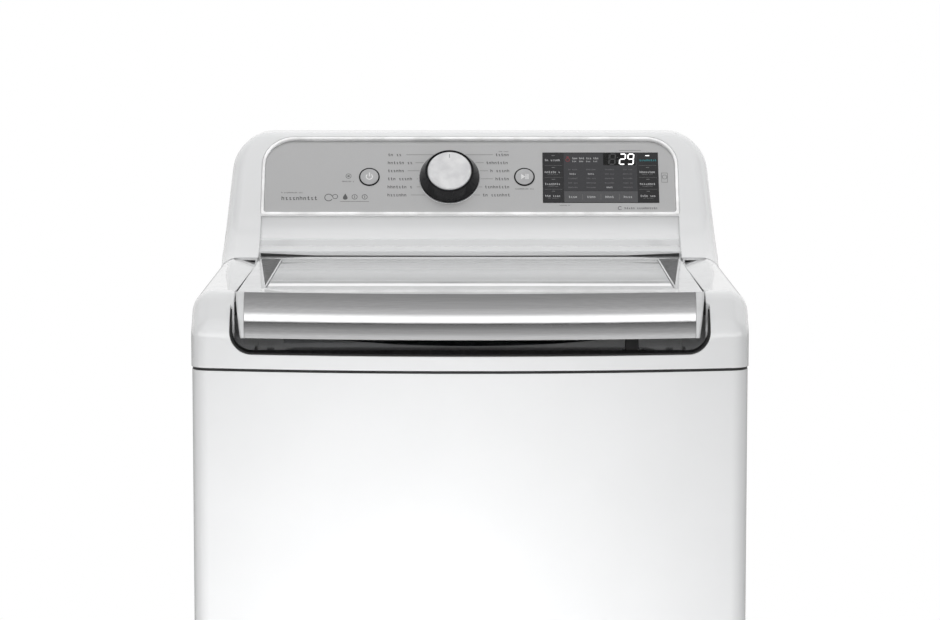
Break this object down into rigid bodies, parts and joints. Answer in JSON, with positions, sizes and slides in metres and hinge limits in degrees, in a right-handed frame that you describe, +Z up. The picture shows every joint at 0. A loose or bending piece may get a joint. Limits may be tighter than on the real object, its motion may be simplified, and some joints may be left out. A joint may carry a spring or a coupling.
{
  "type": "top load washing machine",
  "caption": "Top loading washing machine with a hinged glass lid, a turning drum in a sprung tub, a rear control console with dial and keys, and screw feet.",
  "frame": {"origin": "centre of the overall box at floor level", "axes": "+Z up, the front faces -Y, +X is the right-hand side seen from the front"},
  "size_m": [0.686, 0.721, 1.13],
  "materials": {
    "painted_steel": "gloss white baked enamel",
    "galvanised_steel": "zinc coated sheet",
    "zinc_screws": "bright zinc",
    "foot_rubber": "matt black",
    "white_plastic": "gloss white moulding",
    "lid_white": "gloss white moulding",
    "lid_inner": "satin light grey moulding",
    "trim_white": "gloss white",
    "black_plastic": "fine grained black",
    "gloss_black": "piano black",
    "satin_black": "satin black",
    "lid_glass": "tempered, silver tinted",
    "seal_rubber": "soft grey",
    "handle_metal": "satin metallic grey",
    "handle_end": "metallic silver plastic",
    "shaft_steel": "ground",
    "spring_steel": "oiled wire",
    "panel_grey": "satin silver grey film",
    "dial_silver": "spun satin",
    "button_grey": "satin silver grey",
    "display_glass": "smoked, gloss",
    "circuit_board": "solder resist",
    "valve_plastic": "glass filled nylon",
    "hose_rubber": "matt",
    "grey_plastic": "fine grained",
    "drawer_plastic": "satin",
    "tub_plastic": "glass filled polypropylene",
    "basket_steel": "stainless, bright",
    "balance_plastic": "satin light grey",
    "cast_aluminium": "as cast",
    "impeller_plastic": "satin blue grey",
    "motor_iron": "laminations and ferrite, coated",
    "copper_wire": "enamelled copper wire"
  },
  "bodies": {
    "cabinet": {"cabinet_shell": "painted_steel", "rear_panel": "galvanised_steel", "cabinet_screws": "zinc_screws", "base_frame": "galvanised_steel", "foot_lock_nuts": "zinc_screws", "corner_brackets": "galvanised_steel", "top_cover": "white_plastic", "lid_recess_liner": "black_plastic", "cover_seals": "black_plastic", "lid_hinge_bushes": "black_plastic", "lid_dampers": "black_plastic", "lid_lock_housing": "black_plastic", "console_housing": "white_plastic", "console_rear_cover": "grey_plastic", "control_panel": "panel_grey", "panel_trim": "trim_white", "button_bezels": "gloss_black", "display_glass": "display_glass", "control_board": "circuit_board", "water_inlet_valve": "valve_plastic", "fill_hose": "hose_rubber", "dispenser_housing": "grey_plastic", "suspension_rods": "shaft_steel", "suspension_springs": "spring_steel", "drain_pump": "grey_plastic", "drain_bellows": "seal_rubber"},
    "lid": {"lid_frame": "lid_white", "lid_corner_trims": "satin_black", "lid_glass": "lid_glass", "lid_inner_frame": "lid_inner", "lid_gasket": "seal_rubber", "lid_handle_fascia": "handle_metal", "lid_handle_ends": "handle_end", "lid_hinge_pins": "shaft_steel", "lid_striker": "black_plastic"},
    "lock_bolt": {"lid_lock_bolt": "zinc_screws"},
    "cycle_dial": {"dial_ring": "gloss_black", "dial_cap": "dial_silver"},
    "power_key": {"power_button": "button_grey"},
    "start_key": {"start_button": "button_grey"},
    "drawer": {"detergent_drawer": "drawer_plastic"},
    "tub": {"outer_tub": "tub_plastic", "tub_cover": "tub_plastic", "bearing_housing": "cast_aluminium", "shaft_bearings": "shaft_steel", "stator_core": "motor_iron", "stator_coils": "copper_wire"},
    "wash_basket": {"basket": "basket_steel", "balance_ring": "balance_plastic", "basket_hub": "cast_aluminium", "basket_shaft": "shaft_steel"},
    "rotor": {"impeller": "impeller_plastic", "drive_shaft": "shaft_steel", "rotor_cup": "galvanised_steel", "rotor_magnets": "motor_iron"},
    "pump_rotor": {"drain_pump_rotor": "black_plastic"},
    "foot_a": {"foot_front_left": "foot_rubber"},
    "foot_b": {"foot_front_right": "foot_rubber"},
    "foot_c": {"foot_rear_left": "foot_rubber"},
    "foot_d": {"foot_rear_right": "foot_rubber"}
  },
  "joints": [
    {"name": "lid_hinge", "type": "hinge", "parent": "cabinet", "child": "lid", "pos_m": [0, 0.136, 0.9515], "axis": [-1, 0, 0], "range_deg": [0, 100]},
    {"name": "lock_bolt_slide", "type": "slide", "parent": "cabinet", "child": "lock_bolt", "axis": [-1, 0, 0], "range_m": [0, 0.012]},
    {"name": "dial_turn", "type": "hinge", "parent": "cabinet", "child": "cycle_dial", "pos_m": [-0.0285, 0.25185, 1.0698], "axis": [0, -0.8241, 0.5664], "continuous": true},
    {"name": "power_press", "type": "slide", "parent": "cabinet", "child": "power_key", "axis": [0, 0.8241, -0.5664], "range_m": [0, 0.0012], "stiffness_N_per_m": 2000, "springref_m": -0.0006},
    {"name": "start_press", "type": "slide", "parent": "cabinet", "child": "start_key", "axis": [0, 0.8241, -0.5664], "range_m": [0, 0.0012], "stiffness_N_per_m": 2000, "springref_m": -0.0006},
    {"name": "drawer_slide", "type": "slide", "parent": "cabinet", "child": "drawer", "axis": [0, 1, 0], "range_m": [-0.11, 0]},
    {"name": "tub_bounce", "type": "slide", "parent": "cabinet", "child": "tub", "axis": [0, 0, 1], "range_m": [-0.03, 0.004], "stiffness_N_per_m": 12000, "springref_m": 0.0294, "deforming": ["suspension_springs", "drain_bellows"]},
    {"name": "basket_spin", "type": "hinge", "parent": "tub", "child": "wash_basket", "pos_m": [0, -0.02, 0.5], "axis": [0, 0, 1], "continuous": true},
    {"name": "impeller_spin", "type": "hinge", "parent": "wash_basket", "child": "rotor", "pos_m": [0, -0.02, 0.3], "axis": [0, 0, 1], "continuous": true},
    {"name": "pump_spin", "type": "hinge", "parent": "cabinet", "child": "pump_rotor", "pos_m": [0.15, 0.15, 0.075], "axis": [0, 0, 1], "continuous": true},
    {"name": "front_left_foot_screw", "type": "slide", "parent": "cabinet", "child": "foot_a", "axis": [0, 0, 1], "range_m": [0, 0.012]},
    {"name": "front_right_foot_screw", "type": "slide", "parent": "cabinet", "child": "foot_b", "axis": [0, 0, 1], "range_m": [0, 0.012]},
    {"name": "rear_left_foot_screw", "type": "slide", "parent": "cabinet", "child": "foot_c", "axis": [0, 0, 1], "range_m": [0, 0.012]},
    {"name": "rear_right_foot_screw", "type": "slide", "parent": "cabinet", "child": "foot_d", "axis": [0, 0, 1], "range_m": [0, 0.012]}
  ]
}
